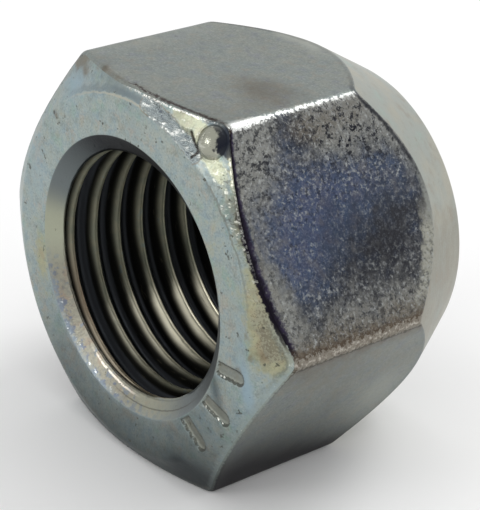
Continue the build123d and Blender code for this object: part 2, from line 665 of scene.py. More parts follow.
def raisePip(points, onFront, fields):
    # A low dome, the cap of a ball, inside a narrow moat. Gives the dome's height and the
    # moat's, and tells the materials where both are.
    cornerR = nut["apothem"] / math.cos(math.pi / 6)
    fromCentre = points - onChamfer(pip["angle"], cornerR - pip["cornerInset"])
    outward = pipDirection()
    aside = np.linalg.norm(fromCentre - (fromCentre @ outward)[..., None] * outward, axis=-1)
    ball = (pip["diameter"] ** 2 / 4 + pip["height"] ** 2) / (2 * pip["height"])
    dome = np.sqrt(np.maximum(ball**2 - aside**2, 0)) - (ball - pip["height"])
    dome = (dome + np.sqrt(dome**2 + pip["footRounding"] ** 2)) / 2
    dome = np.where(onFront & (aside < pip["diameter"]), dome, 0)
    base = pip["diameter"] / 2
    moat = np.exp(-(((aside - base - 0.01) / pip["moatWidth"]) ** 2)) * onFront
    fields["moat"] = moat
    fields["pipTop"] = smoothStep((base - aside) / 0.1) * onFront
    return dome, -pip["moatDepth"] * moat


# A fissure, the torn and smeared metal beside the pip, and the dark residue around the pip's far side,
# partly painted shade there, as paths of (angle, distance from the axis).
crack = {
    "path": ((66.6, 8.56), (65.0, 8.47), (63.5, 8.4), (61.0, 8.34), (60.9, 8.18), (61.3, 7.97)),
    "width": 0.055,
    "depth": 0.06,
}
torn = {
    "path": ((84.5, 8.2), (73.5, 8.12), (65.0, 8.16), (61.2, 8.12)),
    "halfWidth": 0.38,
}
residueAndShade = {
    "path": ((64.8, 9.4), (62.0, 9.55), (59.6, 9.55), (57.4, 9.35), (56.2, 9.1), (55.0, 9.3)),
    "halfWidth": 0.3,
}
nowhere = -9.0  # value of a field where it has no meaning, too low for any mask to show


def tearFront(points, onFront, fields):
    # Gives the fissure's height, and fields that are 1 on a torn or dirty path and 0 at its side.
    def gapTo(piece):
        return distanceToPath(points, [onChamfer(d, r) for d, r in piece["path"]])

    fissure = smoothStep(1.5 - gapTo(crack) / crack["width"]) * onFront
    fields["fissure"] = fissure
    fields["torn"] = np.where(onFront, 1 - gapTo(torn) / torn["halfWidth"], nowhere)
    fields["residueAndShade"] = np.where(onFront, 1 - gapTo(residueAndShade) / residueAndShade["halfWidth"], nowhere)
    return -crack["depth"] * fissure


mark = {  # three plain strokes pressed into the outer face, where such nuts carry a stamp
    "angles": (-11.0, -29.0, -47.0),
    "radius": 7.0,
    "length": 1.8,
    "width": 0.58,
    "depth": 0.12,
    "lean": 16.0,
    "wallWidth": 0.1,
    "rim": 0.02,
    "rimWidth": 0.06,
    "rimFrom": 6.5,  # nearer the axis the rim is pressed flat by the mouth
}


def pressStrokes(points, r, onFace, fields):
    strokes = np.zeros(points.shape[:2])
    rims = np.zeros(points.shape[:2])
    for d in mark["angles"]:
        a = math.radians(d)
        middle = np.array([mark["radius"] * math.cos(a), 0, mark["radius"] * math.sin(a)])
        lean = a + math.radians(mark["lean"])
        half = np.array([math.cos(lean), 0, math.sin(lean)]) * (mark["length"] - mark["width"]) / 2
        pastSide = distanceToPath(points, [middle - half, middle + half]) - mark["width"] / 2
        strokes = np.maximum(strokes, smoothStep(0.5 - pastSide / mark["wallWidth"]))
        rims = np.maximum(rims, np.exp(-((pastSide / mark["rimWidth"]) ** 2)))
    fields["strokes"] = strokes * onFace
    fields["rims"] = rims * onFace
    raised = mark["rim"] * fields["rims"] * (r > mark["rimFrom"])
    return raised - mark["depth"] * fields["strokes"]


relief = {  # heights and widths of a forged, handled surface
    "tear": 0.05,
    "burr": 0.035,
    "burrWidth": 0.1,
    "groove": 0.04,
    "longWave": 0.008,
    "shortWave": 0.005,
}


def workEdges(points, zone, along, onFlat, fields):
    # Torn metal is pulled into scales, the arc where chamfer meets flat has a lumpy burr, and a
    # groove follows it on the flat.
    scales = latticeNoise(points / 0.3, 31) + 0.6 * latticeNoise(points / 0.15, 32)
    tornHere = smoothStep(fields["torn"] * 2) * (zone < 2.9) * (1 - fields["pipTop"])
    height = -relief["tear"] * tornHere * (0.8 + scales)
    lumps = latticeNoise(points / 0.4, 33) + 0.5 * latticeNoise(points / 0.15, 34)
    burr = fields.pop("burr") * np.exp(-((along / relief["burrWidth"]) ** 2))
    height += relief["burr"] * burr * lumps * ((zone > 1.9) & (zone < 3.1))
    width = fields.pop("grooveWidth")
    across = (along - fields.pop("grooveStart")) / width
    groove = fields["groove"] * np.exp(-(((across - 0.5) / 0.4) ** 2)) * onFlat
    fields["across"] = np.where(onFlat, across, nowhere)
    fields["behind"] = (across - 1) * width
    return height - relief["groove"] * groove


def waves(points, zone):
    # Flats and seat are never quite flat or round: a hundredth or two, always inwards.
    long = (1 + latticeNoise(points / 2.6, 41)) * (zone > 2.4)
    short = (1 + latticeNoise(points / 1.1, 42)) * (zone > 0.9)
    return -relief["longWave"] * long - relief["shortWave"] * short


def cornerFields(depth, degrees, r, onFlat, fields):
    # How far a point is around from the nearest flat's middle, less 4.2, and where the corner is worn
    # bright. The painted highlight along the corner above the pip is broad at the face and thins behind
    # it.
    fromMiddle = np.abs(r * np.sin(np.radians(np.mod(degrees, 60) - 30)))
    thin = smoothStep((depth - 1.6) / 1.6) * smoothStep((4 - np.abs(degrees - 59)) / 2)
    fields["corner"] = fromMiddle - 4.2 - 0.22 * thin
    fields["cornerWearAndHighlight"] *= onFlat * smoothStep((depth - 0.9) / 0.5)
    fields["cornerWearAndHighlight"] *= 1 - 0.5 * thin * smoothStep(depth / 9)


def dressOuter(points, zones, angle, chamferY, seatY):
    # Pip, fissure, strokes, burrs and the slight unevenness of a forged surface, as heights along
    # the outward normal, and the fields that the materials read.
    normals = gridNormals(points)
    zone = zones[:, None]
    degrees = np.degrees(angle)
    depth = points[..., 1]
    r = np.hypot(points[..., 0], points[..., 2])
    onFront = (zone > 1) & (zone < 4)
    onFace = (zone > 0.6) & (zone < 2)
    onFlat = (zone >= 2.5) & (zone < 3.5)
    along = depth - chamferY
    fields = flatFields(points, angle, depth)
    front = frontFields(points)
    fields["shade"] = np.where(zone < 2.4, front.pop("shade"), fields["shade"])
    fields.update(front)
    for name, pairs in arcFinish.items():
        fields[name] = aroundLine(pairs, degrees) + 0 * depth
    fields.update(along=along, toSeat=seatY - depth, radius=r)

    dome, height = raisePip(points, onFront, fields)
    height = height + tearFront(points, onFront, fields)
    height = height + pressStrokes(points, r, onFace, fields)
    height = height + workEdges(points, zone, along, onFlat, fields) + waves(points, zone)
    cornerFields(depth, degrees, r, onFlat, fields)
    moved = points + normals * height[..., None] + pipDirection() * dome[..., None]
    moved[..., 1] = np.clip(moved[..., 1], 0, nut["length"])
    moved[..., 2] = np.clip(moved[..., 2], -nut["apothem"], nut["apothem"])
    return moved, fields


def boreRadius(angle, depth):
    # The mouth cone from each end down to its ring, and the thread behind it.
    fromEnd = np.minimum(depth, nut["length"] - depth)
    cone = nut["mouthRadius"] - fromEnd * math.tan(math.radians(nut["mouthHalfAngle"]))
    t = threadRadius(angle, depth)
    return np.where(fromEnd < nut["mouthDepth"], cone, np.maximum(t, cone))


def ringQuads(index):
    a, b = index[:-1], index[1:]
    return np.stack([a, np.roll(a, -1, 1), np.roll(b, -1, 1), b], -1).reshape(-1, 4)


def ringSeam(ring, half, flip):
    # Joins a ring to one with half as many points by five-sided faces.
    five = np.stack([ring[::2], ring[1::2], np.roll(ring[::2], -1), np.roll(half, -1), half], -1)
    return five[:, ::-1] if flip else five


def boreRows(angle, firstDepth):
    # Rows from the back mouth to the front one, fine enough for the thread's flanks.
    ring, gap = nut["mouthDepth"], grid["ringGap"]
    coneRows = np.linspace(firstDepth, ring - gap / 3, 7)[1:]
    threadRows = np.linspace(ring + gap * 2 / 3, nut["length"] - ring - gap * 2 / 3, grid["boreRows"])
    depth = np.concatenate([coneRows, threadRows, nut["length"] - coneRows[::-1]])[::-1, None]
    radius = boreRadius(angle[None, :], depth)
    # small nicks all over the bore but for the thread's roots and the mouths' outer part
    nick = latticeNoise(gridPoints(radius, depth, angle) / 0.5, 51)
    return depth, radius + 0.012 * nick * (radius < nut["mouthRadius"] - 0.3)


tones = {  # bands across the thread, in mm from a crest's middle, towards the front below 0
    "crest": (-0.29, 0.21),
    "crestRise": 0.46,
    "crestFall": 0.14,
    "highlightWider": 0.14,
    "rootFrom": 0.2,
    "rootTo": (-0.43, -0.3),  # deep in the bore, and near the front mouth
    "rootFade": 0.1,
    # the crest's bright front reaches further at some angles
    "crestSpread": ((120, 0.1), (190, 0.08), (208, 0.0), (300, 0.0)),
}


def boreFields(depth, radius, angle):
    # Across the thread, as painted light and shade: the crest brightens from its front flank to its back
    # edge, and the root is a little less black than the flanks. Down the mouth: 0 at its rim, 1 at the
    # cone's foot.
    degrees = np.degrees(angle)
    turns = (depth - thread["start"]) / thread["pitch"] + angle / (2 * math.pi)
    fromCrest = (np.mod(turns + 0.5, 1) - 0.5) * thread["pitch"]
    fields = {"radius": radius}
    for name in ("lip", "footGlint", "rimGlint", "ringLine", "coneShade", "firstCrestHighlight", "crestHighlight"):
        fields[name] = aroundLine(arcFinish[name], degrees) + 0 * radius
    for name in ("torn", "residueAndShade", "along"):
        fields[name] = np.full(radius.shape, nowhere)
    fields["mouth"] = np.minimum(depth, nut["length"] - depth) / nut["mouthDepth"] + 0 * radius

    deepEnd, frontEnd = tones["rootTo"]
    rootTo = deepEnd + (frontEnd - deepEnd) * smoothStep((4 - depth) / 2.5)
    fields["root"] = smoothStep((fromCrest - tones["rootFrom"]) / tones["rootFade"])
    fields["root"] = fields["root"] + smoothStep((rootTo - fromCrest) / tones["rootFade"])

    fields["crestHighlight"] = fields["crestHighlight"] * smoothStep((depth - 0.4) / 2.6)
    wider = tones["highlightWider"] * fields["crestHighlight"] * smoothStep((depth - 2.5) / 2)
    crestFrom = tones["crest"][0] - wider - aroundLine(tones["crestSpread"], degrees)
    crestTo = tones["crest"][1] + 0.25 * wider
    rise = smoothStep((fromCrest - crestFrom) / tones["crestRise"])
    fields["crest"] = rise * smoothStep((crestTo - fromCrest) / tones["crestFall"])
    return fields


def addFields(mesh, outside, inside):
    # One attribute for each field: the outer points first, then the bore's, 0 where it has none.
    noBore = np.zeros(inside["radius"].shape)
    for name, values in outside.items():
        layer = mesh.attributes.new(name, "FLOAT", "POINT")
        both = [np.ravel(values), np.ravel(inside.get(name, noBore))]
        layer.data.foreach_set("value", np.concatenate(both).astype(np.float32))


def faceSlots(zones, depth, outerCount, boreCount):
    # Material slots: 0 face, chamfer and front mouth, 1 flats, 2 seat and back mouth, 3 thread.
    # The two seams come last, the back one first.
    ring = nut["mouthDepth"]
    rowSlot = np.select([zones[:-1] < 2.5, zones[:-1] < 3.7], [0, 1], 2)
    middle = (depth[:-1, 0] + depth[1:, 0]) / 2
    boreSlot = np.select([middle < ring, middle > nut["length"] - ring], [0, 2], 3)
    seams = [np.full(boreCount, 2), np.full(boreCount, 0)]
    return np.concatenate([np.repeat(rowSlot, outerCount), np.repeat(boreSlot, boreCount), *seams])


def buildNut():
    angle = spreadAngles()
    boreAngle = angle[::2]  # the bore does with half as many
    r, y, zones, chamferY, seatY = outerRows(angle)
    outer, fields = dressOuter(gridPoints(r, y, angle), zones, angle, chamferY, seatY)
    depth, boreR = boreRows(boreAngle, y[0, 0])
    bore = gridPoints(boreR, depth, boreAngle)

    points = np.concatenate([outer.reshape(-1, 3), bore.reshape(-1, 3)])
    points[:, 1] -= nut["length"] / 2
    outerSize, boreSize = outer.shape[:2], bore.shape[:2]
    outerIndex = np.arange(math.prod(outerSize)).reshape(outerSize)
    boreIndex = outerIndex.size + np.arange(math.prod(boreSize)).reshape(boreSize)
    parts = [
        ringQuads(outerIndex),
        ringQuads(boreIndex),
        ringSeam(outerIndex[-1], boreIndex[0], False),
        ringSeam(outerIndex[0], boreIndex[-1], True),
    ]
    mesh = bpy.data.meshes.new("nutBody")
    mesh.from_pydata((points * mm).tolist(), [], [face for part in parts for face in part.tolist()])
    mesh.update()

    # outside the mouth's rim this field is the distance from the rim, below 0
    fromEnd = np.minimum(y, nut["length"] - y)
    mouth = nut["mouthRadius"]
    fields["mouth"] = np.where(r < mouth, fromEnd / nut["mouthDepth"], mouth - r)
    fields["crest"] = fields["root"] = np.zeros(outerSize)
    addFields(mesh, fields, boreFields(depth, boreR, boreAngle))
    slots = faceSlots(zones, depth, outerSize[1], boreSize[1])
    mesh.polygons.foreach_set("material_index", slots.astype(np.int32))
    mesh.shade_smooth()
    return mesh


body = bpy.data.objects.new("nutBody", buildNut())
bpy.context.collection.objects.link(body)
triangles = sum(len(p.vertices) - 2 for p in body.data.polygons)
print("nut:", len(body.data.vertices), "points,", triangles, "triangles")


def linear(hexValue):
    c = np.array([int(hexValue[i : i + 2], 16) for i in (1, 3, 5)]) / 255
    c = np.where(c <= 0.04045, c / 12.92, ((c + 0.055) / 1.055) ** 2.4)
    return (*c, 1.0)


def addNode(tree, kind, links=None, **settings):
    # Makes a node, sets its fields and socket values, and links sockets to other outputs.
    node = tree.nodes.new(kind)
    for key, value in settings.items():
        setattr(node, key, value)
    for key, value in (links or {}).items():
        socket = node.inputs[key]
        if isinstance(value, bpy.types.NodeSocket):
            tree.links.new(value, socket)
        else:
            socket.default_value = value
    return node


def newMaterial(name):
    material = bpy.data.materials.new(name)
    material.use_nodes = True
    material.node_tree.nodes.clear()
    return material.node_tree, material


def grain(tree, size, detail=2.0, seed=0, stretch=(1, 1, 1), rough=0.5):
    # Noise whose features are about `size` mm; a stretch above 1 shortens them that way.
    spot = addNode(tree, "ShaderNodeTexCoord").outputs["Object"]
    shift = (seed * 0.013, seed * 0.007, seed * 0.011)
    spot = addNode(
        tree, "ShaderNodeMapping", {"Vector": spot, "Location": shift, "Scale": stretch}
    ).outputs[0]
    links = {"Vector": spot, "Scale": 1 / (size * mm), "Detail": detail, "Roughness": rough}
    return addNode(tree, "ShaderNodeTexNoise", links).outputs["Fac"]


def mask(tree, where, noise=None, weight=1.0, band=(0.0, 1.0), share=()):
    # How much of a layer shows. An attribute's value, with noise about 0 added to it, passes
    # smoothly from the band's first end (none) to its second (all), and where the band has four
    # ends, back from the third to the fourth. Shares are numbers, attributes' names or masks
    # that it is multiplied by.
    value = addNode(tree, "ShaderNodeAttribute", attribute_name=where).outputs["Fac"] if where else 0.0
    if noise:
        value = addNode(
            tree, "ShaderNodeMath", {0: noise, 1: weight, 2: value}, operation="MULTIPLY_ADD"
        ).outputs[0]
        band = [end + weight / 2 for end in band]
    factors = []
    for none, full in (band[:2], band[:1:-1]):
        links = {"Value": value, "From Min": none, "From Max": full}
        factors.append(
            addNode(tree, "ShaderNodeMapRange", links, interpolation_type="SMOOTHSTEP").outputs[0]
        )
        if len(band) == 2:
            break
    for factor in share:
        if isinstance(factor, str):
            factor = addNode(tree, "ShaderNodeAttribute", attribute_name=factor).outputs["Fac"]
        factors.append(factor)
    amount = factors[0]
    for factor in factors[1:]:
        amount = addNode(tree, "ShaderNodeMath", {0: amount, 1: factor}, operation="MULTIPLY").outputs[0]
    return amount


def lay(tree, base, layers):
    # Lays colours, or values such as roughness, over one another: each layer is (mask, what).
    kind, under, over, out = ("FLOAT", 2, 3, 0) if isinstance(base, float) else ("RGBA", 6, 7, 2)
    result = linear(base) if isinstance(base, str) else base
    for amount, what in layers:
        what = linear(what) if isinstance(what, str) else what
        result = addNode(
            tree, "ShaderNodeMix", {0: amount, under: result, over: what}, data_type=kind
        ).outputs[out]
    return result


def surface(tree, colour, roughness, heights, edge="#ffffff"):
    # Heights is a list of (height, depth in mm) laid one on the other; edge is the tint of what
    # the metal reflects at a glancing angle.
    normal = None
    for height, depth in heights:
        links = {"Height": height, "Distance": depth * mm, "Strength": 1.0}
        if normal:
            links["Normal"] = normal
        normal = addNode(tree, "ShaderNodeBump", links).outputs[0]
    links = {"Base Color": colour, "Roughness": roughness, "Normal": normal, "Metallic": 1.0}
    links["Specular Tint"] = linear(edge)
    shader = addNode(tree, "ShaderNodeBsdfPrincipled", links)
    addNode(tree, "ShaderNodeOutputMaterial", {"Surface": shader.outputs[0]})


def struckFace():
    # Mild steel struck in a die, bright zinc plated and blue passivated: a satin pale blue-grey with
    # faint clouds, yellower where the film is thick, glittering where the metal tore, the glitter a
    # painted highlight; painted shade and painted highlights also run through its colour.
    tree, material = newMaterial("zincOnStruckFace")
    clouds = grain(tree, 1.3, 3.0)
    mottle = grain(tree, 0.4, 4.0, seed=1, rough=0.6)
    tint = grain(tree, 0.45, 3.0, seed=21, rough=0.6)
    patches = grain(tree, 0.9, 4.0, seed=24, rough=0.65)
    blots = grain(tree, 0.6, 3.0, seed=28, rough=0.6)
    fine = grain(tree, 0.09, 3.0, seed=2)
    pits = grain(tree, 0.3, 2.0, seed=3)
    scales = grain(tree, 0.2, 5.0, seed=4, rough=0.65)
    smears = grain(tree, 0.3, 5.0, seed=22, stretch=(0.6, 1.0, 1.5), rough=0.6)
    facets = grain(tree, 0.09, 2.0, seed=5)
    inCone = mask(tree, "mouth", band=(0.0, 0.06), share=(mask(tree, "radius", band=(6.34, 6.2)),))
    torn = mask(tree, "torn", mottle, 2.2, (-0.1, 0.35))
    cream = mask(tree, "cream", scales, 0.9, (0.3, 0.7))
    pipTop = mask(tree, "pipTop", band=(0.0, 1.0))
    beyondRim = mask(tree, "radius", mottle, 0.3, (7.98, 8.1))
    scuffed = mask(tree, "along", mottle, 0.8, (-0.75, -0.45, -0.1, -0.02), ("scuff", beyondRim))
    atEdge = mask(tree, "along", band=(-0.2, -0.12))
    burrTop = mask(tree, "groove", band=(0.8, 1.0), share=(mask(tree, "shadeOverEdge", band=(1.0, 0.0)),))
    glitter = mask(tree, None, facets, 1.0, (-0.1, 0.05))
    glint = mask(tree, "along", scales, 0.12, (-0.1, -0.06, 0.02, 0.06), ("glint", glitter))

    colour = lay(
        tree,
        "#94a1a0",
        [
            (mask(tree, None, clouds, 1.0, (-0.12, 0.14)), "#99a39f"),
            (mask(tree, None, patches, 1.0, (0.04, 0.16), (0.6,)), "#a39c90"),
            (mask(tree, None, patches, 1.0, (-0.04, -0.16), (0.6,)), "#88a195"),
            (mask(tree, None, tint, 1.0, (0.0, 0.2), (0.6,)), "#8599a2"),
            (mask(tree, None, tint, 1.0, (0.0, -0.2), (0.6,)), "#9a9d90"),
            (mask(tree, None, mottle, 1.0, (0.0, 0.22), (0.55,)), "#a6aeaa"),
            (mask(tree, None, mottle, 1.0, (0.0, -0.22), (0.55,)), "#7b8583"),
            (mask(tree, None, fine, 1.0, (0.02, 0.2), (0.4,)), "#b0b8b4"),
            (mask(tree, None, fine, 1.0, (-0.02, -0.2), (0.4,)), "#6c7573"),
            (mask(tree, "sky", mottle, 0.5, (0.0, 1.0), (0.8,)), "#92a8b4"),
            (mask(tree, "yellow", mottle, 1.4, (0.1, 0.8), (0.8,)), "#9b9a7a"),
            (mask(tree, "yellow", scales, 2.2, (0.5, 0.9), (0.35,)), "#b3ae90"),
            # painted shade over the face and chamfer
            (mask(tree, "shade", band=(0.0, 1.0)), "#393f41"),
        ],
    )
    # torn metal in pale and dark streaks; its white flecks are painted glints
    tornColour = lay(
        tree,
        "#939c9d",
        [
            (mask(tree, None, smears, 1.0, (-0.02, 0.1)), "#b6bcb9"),
            (mask(tree, None, smears, 1.0, (0.08, 0.14)), "#e9ebe7"),
            (mask(tree, None, smears, 1.0, (-0.08, -0.16)), "#4d535c"),
        ],
    )
    creamColour = lay(
        tree,
        "#9c9f8b",
        [
            (mask(tree, None, mottle, 1.0, (0.0, 0.2)), "#8f9587"),
            (mask(tree, None, tint, 1.0, (0.0, -0.2), (0.5,)), "#a09a8a"),
            (mask(tree, None, scales, 1.0, (0.08, 0.18), (0.7,)), "#c8cac0"),
        ],
    )
    colour = lay(
        tree,
        colour,
        [
            (mask(tree, "rust", mottle, 1.6, (0.2, 1.0), (0.7,)), "#6f6453"),
            (mask(tree, "yellow", tint, 2.6, (0.6, 1.3), (0.35,)), "#93806a"),
            (mask(tree, "yellow", patches, 2.6, (0.8, 1.2), (0.3,)), "#85928a"),
            (mask(tree, "yellow", facets, 3.4, (1.2, 1.4), (0.4,)), "#544a3c"),
            (mask(tree, None, pits, 1.0, (0.185, 0.23), (0.75,)), "#494a43"),
            (mask(tree, "along", mottle, 0.2, (-0.36, -0.2, -0.12, -0.02), ("bluish", 0.6)), "#7d888a"),
            # painted highlight on the face's rim, then painted shade just beyond it
            (mask(tree, "radius", mottle, 0.16, (7.91, 7.96, 7.99, 8.05), ("faceRim", 0.5)), "#b5b0a0"),
            (mask(tree, "radius", mottle, 0.4, (8.02, 8.08, 8.2, 8.4), ("faceRim", 0.5)), "#6e797e"),
            (mask(tree, "along", scales, 0.4, (-0.3, -0.22, -0.2, -0.12), ("ridge", 0.5)), "#59605c"),
            # painted highlight on the softly rounded edge
            (mask(tree, "along", scales, 0.3, (-0.24, -0.1), ("softEdge", 0.6)), "#929d9b"),
            (mask(tree, None, scales, 1.0, (0.1, 0.2), (atEdge, "softEdge")), "#c9cec6"),
            (mask(tree, "torn", mottle, 0.5, (-0.14, -0.04, 0.06, 0.16), (0.55,)), "#7a6b5c"),
            (torn, tornColour),
            (cream, creamColour),
            # painted shade of the groove, running over on to the chamfer
            (mask(tree, "along", scales, 0.2, (-0.13, -0.08), ("shadeOverEdge",)), "#1b1820"),
            (mask(tree, None, smears, 1.0, (-0.07, -0.15), (scuffed, 0.6)), "#4c4b44"),
            (mask(tree, None, smears, 1.0, (0.07, 0.13), (scuffed, 0.8)), "#d3d4c9"),
            (mask(tree, "radius", mottle, 0.3, (7.92, 7.97, 8.0, 8.06), ("rimLine", 0.6)), "#5b574c"),
            # painted glints along the chamfer's broken edge
            (glint, "#f0f0ea"),
            # painted highlight on the burr's top
            (mask(tree, "along", scales, 0.3, (-0.14, -0.08, 0.0, 0.05), (burrTop, 0.6)), "#a8a68a"),
            # the pip's lighter streaks are a painted highlight
            (pipTop, lay(tree, "#9c9d90", [(mask(tree, None, smears, 1.0, (0.03, 0.14)), "#b9baae")])),
            # painted shade in the moat round the pip's foot
            (mask(tree, "moat", band=(0.2, 1.0), share=(0.6,)), "#55534c"),
            # dark residue, partly painted shade on the pip's far side
            (mask(tree, "residueAndShade", scales, 1.8, (-0.1, 0.4), ("residueAndShadeTone",)), "#22252e"),
            (mask(tree, "fissure", band=(0.3, 0.9), share=(0.8,)), "#2b1c14"),
            (mask(tree, "strokes", band=(0.4, 1.0), share=(0.6,)), "#7d7b6e"),
            # painted shade along the strokes' edges, and painted glints on their rims
            (mask(tree, "rims", scales, 0.8, (0.3, 0.7), (0.85,)), "#3f403a"),
            (mask(tree, "rims", tint, 2.0, (0.9, 1.05), (0.9,)), "#d8dad2"),
        ],
    )
    # the mouth: its cone painted darker at the top as painted shade, mottled and rolled over at the lower
    # left, with painted glints and fine dark rings near the foot
    mottled = lay(
        tree,
        "#8b897d",
        [
            (mask(tree, None, tint, 1.0, (0.0, 0.2), (0.6,)), "#8f7f70"),
            (mask(tree, None, blots, 1.0, (0.06, 0.14), (0.7,)), "#6c7886"),
            (mask(tree, "mouth", blots, 3.2, (0.2, -0.05), (0.75,)), "#5c677c"),
            (mask(tree, None, scales, 1.0, (0.0, 0.2), (0.4,)), "#9d9b89"),
            (mask(tree, None, scales, 1.0, (0.0, -0.2), (0.5,)), "#5f6366"),
        ],
    )
    # painted shade: the cone nearly black at the top, pale lower down
    cone = lay(
        tree,
        "#12161c",
        [
            (mask(tree, "coneShade", band=(0.0, 0.6)), "#6f7677"),
            (mask(tree, "coneShade", band=(0.6, 1.0)), "#a1a492"),
            (mask(tree, "lip", band=(0.0, 0.7)), mottled),
        ],
    )
    rimSpecks = mask(tree, None, scales, 1.0, (0.09, 0.16))
    footSpecks = mask(tree, None, scales, 1.0, (-0.1, -0.02))
    colour = lay(
        tree,
        colour,
        [
            (inCone, cone),
            (mask(tree, "mouth", mottle, 0.6, (-0.2, -0.08, 0.1, 0.35), ("lip", 0.35)), "#8d9ba3"),
            # painted glints at the mouth's rim and at the cone's foot
            (mask(tree, "mouth", mottle, 0.6, (0.0, 0.08, 0.2, 0.34), ("rimGlint", rimSpecks)), "#e6edf0"),
            (mask(tree, "mouth", mottle, 0.1, (0.64, 0.69, 0.73, 0.78), ("footGlint", footSpecks)), "#e9e0d2"),
            (mask(tree, "mouth", mottle, 0.1, (0.84, 0.88, 0.9, 0.94), ("lip", 0.85)), "#2c2924"),
            (mask(tree, "mouth", mottle, 0.1, (0.38, 0.42, 0.44, 0.48), ("ringLine", 0.6)), "#4a4840"),
        ],
    )
    roughness = lay(tree, 0.42, [(torn, 0.27), (cream, 0.36), (pipTop, 0.22), (glint, 0.2)])
    heights = [
        (fine, 0.008),
        (mottle, 0.012),
        (mask(tree, None, pits, 1.0, (0.2, 0.26)), -0.02),
        (mask(tree, None, smears, 1.0, (-0.2, 0.2), (torn,)), 0.05),
        (mask(tree, None, facets, 1.0, (-0.2, 0.2), (pipTop,)), 0.005),
        (mask(tree, None, mottle, 1.0, (-0.2, 0.2), ("lip", inCone)), 0.006),
    ]
    surface(tree, colour, roughness, heights)
    return material


